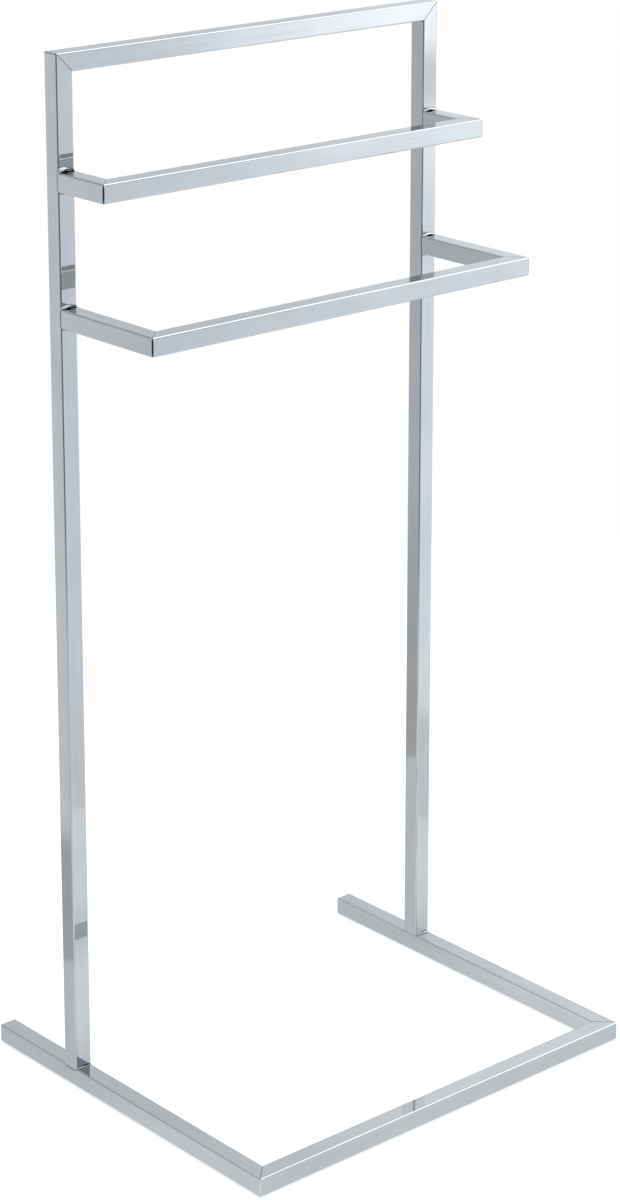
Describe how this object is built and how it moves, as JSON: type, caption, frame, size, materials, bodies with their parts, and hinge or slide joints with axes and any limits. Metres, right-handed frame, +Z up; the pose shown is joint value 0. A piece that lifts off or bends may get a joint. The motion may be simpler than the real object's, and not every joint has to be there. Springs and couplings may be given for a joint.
{
  "type": "freestanding towel stand",
  "caption": "Freestanding towel stand in chrome square tube: tall frame with a top rail, stepped bars that reach forwards, and a flat base open at the back.",
  "frame": {"origin": "on the floor, under the middle of the outline, half way between the outer side faces and half way from the base's front face to its rear ends", "axes": "+Z up, front towards -Y, so +X is on the right of someone who faces the towel bars"},
  "size_m": [0.46, 0.395, 1],
  "materials": {
    "chrome_tube": "mirror-polished chrome plate on welded steel tube",
    "chrome_weld": "chrome plate over a dressed weld bead, slightly rippled",
    "glide_pad": "soft grey pad, matt"
  },
  "bodies": {
    "root": {"left_upright": "chrome_tube", "right_upright": "chrome_tube", "top_rail": "chrome_tube", "upper_bar_left_arm": "chrome_tube", "upper_bar_rail": "chrome_tube", "upper_bar_right_arm": "chrome_tube", "lower_bar_left_arm": "chrome_tube", "lower_bar_rail": "chrome_tube", "lower_bar_right_arm": "chrome_tube", "base_left_rail": "chrome_tube", "base_front_rail": "chrome_tube", "base_right_rail": "chrome_tube", "base_left_end_plate": "chrome_tube", "base_right_end_plate": "chrome_tube", "upper_bar_left_weld": "chrome_weld", "upper_bar_right_weld": "chrome_weld", "lower_bar_left_weld": "chrome_weld", "lower_bar_right_weld": "chrome_weld", "left_foot_weld": "chrome_weld", "right_foot_weld": "chrome_weld", "front_left_glide": "glide_pad", "front_right_glide": "glide_pad", "rear_left_glide": "glide_pad", "rear_right_glide": "glide_pad"}
  },
  "joints": []
}
